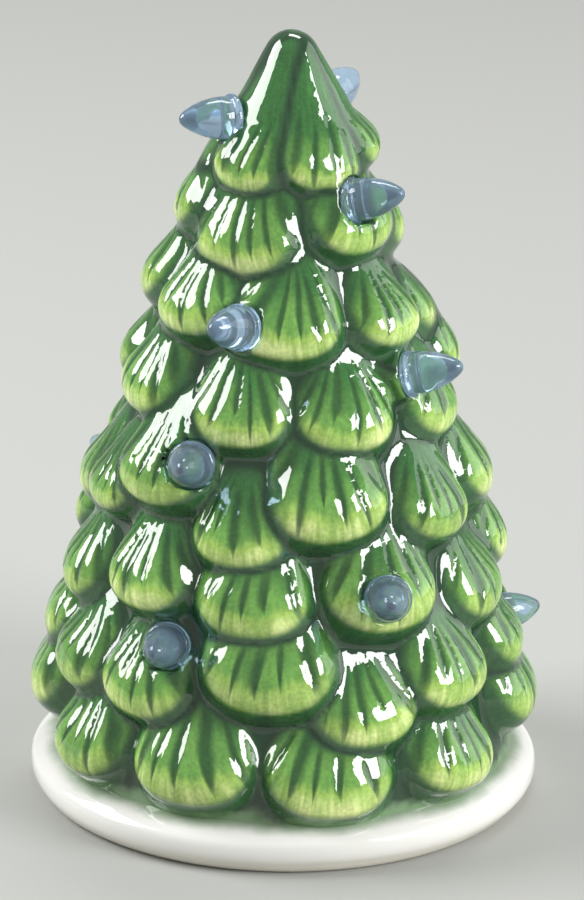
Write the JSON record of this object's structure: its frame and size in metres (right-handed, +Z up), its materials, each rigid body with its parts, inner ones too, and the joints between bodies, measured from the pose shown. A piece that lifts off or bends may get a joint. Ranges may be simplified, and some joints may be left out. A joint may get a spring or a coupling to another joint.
{
  "type": "ceramic christmas tree",
  "caption": "Glazed ceramic tabletop tree of overlapping rounded boughs on a white snow base, with clear push-in light pegs and a battery light unit in the bottom.",
  "frame": {"origin": "centre of the foot ring, on the surface that the tree stands on", "axes": "+Z up along the tree's axis, -Y towards the side seen in the picture"},
  "size_m": [0.109, 0.1087, 0.165],
  "materials": {
    "glazed_stoneware": "gloss",
    "peg_plastic": "clear",
    "plug_plastic": "moulded",
    "cell_steel": "satin",
    "contact_brass": "stamped",
    "board_laminate": "satin",
    "lamp_epoxy": "clear",
    "switch_steel": "plated",
    "switch_plastic": "moulded",
    "wire_insulation": "satin"
  },
  "bodies": {
    "tree": {"tree_shell": "glazed_stoneware", "light_plug": "plug_plastic", "coin_cell_lower": "cell_steel", "coin_cell_upper": "cell_steel", "contact_rivet": "contact_brass", "contact_clip": "contact_brass", "circuit_board": "board_laminate", "led": "lamp_epoxy", "switch_body": "switch_steel", "switch_wires": "wire_insulation"},
    "battery_cap": {"battery_cap": "plug_plastic"},
    "switch_slider": {"switch_slider": "switch_plastic"},
    "light_peg_01": {"light_peg_01": "peg_plastic"},
    "light_peg_02": {"light_peg_02": "peg_plastic"},
    "light_peg_03": {"light_peg_03": "peg_plastic"},
    "light_peg_04": {"light_peg_04": "peg_plastic"},
    "light_peg_05": {"light_peg_05": "peg_plastic"},
    "light_peg_06": {"light_peg_06": "peg_plastic"},
    "light_peg_07": {"light_peg_07": "peg_plastic"},
    "light_peg_08": {"light_peg_08": "peg_plastic"},
    "light_peg_09": {"light_peg_09": "peg_plastic"},
    "light_peg_10": {"light_peg_10": "peg_plastic"},
    "light_peg_11": {"light_peg_11": "peg_plastic"},
    "light_peg_12": {"light_peg_12": "peg_plastic"},
    "light_peg_13": {"light_peg_13": "peg_plastic"},
    "light_peg_14": {"light_peg_14": "peg_plastic"},
    "light_peg_15": {"light_peg_15": "peg_plastic"},
    "light_peg_16": {"light_peg_16": "peg_plastic"}
  },
  "joints": [
    {"name": "battery_cap_turn", "type": "hinge", "parent": "tree", "child": "battery_cap", "pos_m": [0, 0, 0.0015], "axis": [0, 0, 1], "range_deg": [0, 60]},
    {"name": "switch_slide", "type": "slide", "parent": "tree", "child": "switch_slider", "axis": [1, 0, 0], "range_m": [0, 0.0025]},
    {"name": "light_peg_01_pull", "type": "slide", "parent": "tree", "child": "light_peg_01", "axis": [-0.9113, -0.4057, 0.0698], "range_m": [0, 0.007]},
    {"name": "light_peg_02_pull", "type": "slide", "parent": "tree", "child": "light_peg_02", "axis": [0.4891, 0.8471, 0.2079], "range_m": [0, 0.007]},
    {"name": "light_peg_03_pull", "type": "slide", "parent": "tree", "child": "light_peg_03", "axis": [0.8824, -0.3929, 0.2588], "range_m": [0, 0.007]},
    {"name": "light_peg_04_pull", "type": "slide", "parent": "tree", "child": "light_peg_04", "axis": [-0.4592, 0.8637, 0.2079], "range_m": [0, 0.007]},
    {"name": "light_peg_05_pull", "type": "slide", "parent": "tree", "child": "light_peg_05", "axis": [0.5887, 0.7812, 0.2079], "range_m": [0, 0.007]},
    {"name": "light_peg_06_pull", "type": "slide", "parent": "tree", "child": "light_peg_06", "axis": [-0.4851, -0.8403, 0.2419], "range_m": [0, 0.007]},
    {"name": "light_peg_07_pull", "type": "slide", "parent": "tree", "child": "light_peg_07", "axis": [-0.2696, 0.9403, 0.2079], "range_m": [0, 0.007]},
    {"name": "light_peg_08_pull", "type": "slide", "parent": "tree", "child": "light_peg_08", "axis": [0.9187, -0.2985, 0.2588], "range_m": [0, 0.007]},
    {"name": "light_peg_09_pull", "type": "slide", "parent": "tree", "child": "light_peg_09", "axis": [-0.1344, -0.9565, 0.2588], "range_m": [0, 0.007]},
    {"name": "light_peg_10_pull", "type": "slide", "parent": "tree", "child": "light_peg_10", "axis": [0.4891, 0.8471, 0.2079], "range_m": [0, 0.007]},
    {"name": "light_peg_11_pull", "type": "slide", "parent": "tree", "child": "light_peg_11", "axis": [-0.7586, 0.6365, 0.1392], "range_m": [0, 0.007]},
    {"name": "light_peg_12_pull", "type": "slide", "parent": "tree", "child": "light_peg_12", "axis": [-0.547, 0.8109, 0.2079], "range_m": [0, 0.007]},
    {"name": "light_peg_13_pull", "type": "slide", "parent": "tree", "child": "light_peg_13", "axis": [0.0337, -0.9653, 0.2588], "range_m": [0, 0.007]},
    {"name": "light_peg_14_pull", "type": "slide", "parent": "tree", "child": "light_peg_14", "axis": [0.2532, 0.9448, 0.2079], "range_m": [0, 0.007]},
    {"name": "light_peg_15_pull", "type": "slide", "parent": "tree", "child": "light_peg_15", "axis": [-0.2017, -0.9491, 0.2419], "range_m": [0, 0.007]},
    {"name": "light_peg_16_pull", "type": "slide", "parent": "tree", "child": "light_peg_16", "axis": [0.9565, 0.2563, 0.1392], "range_m": [0, 0.007]}
  ]
}
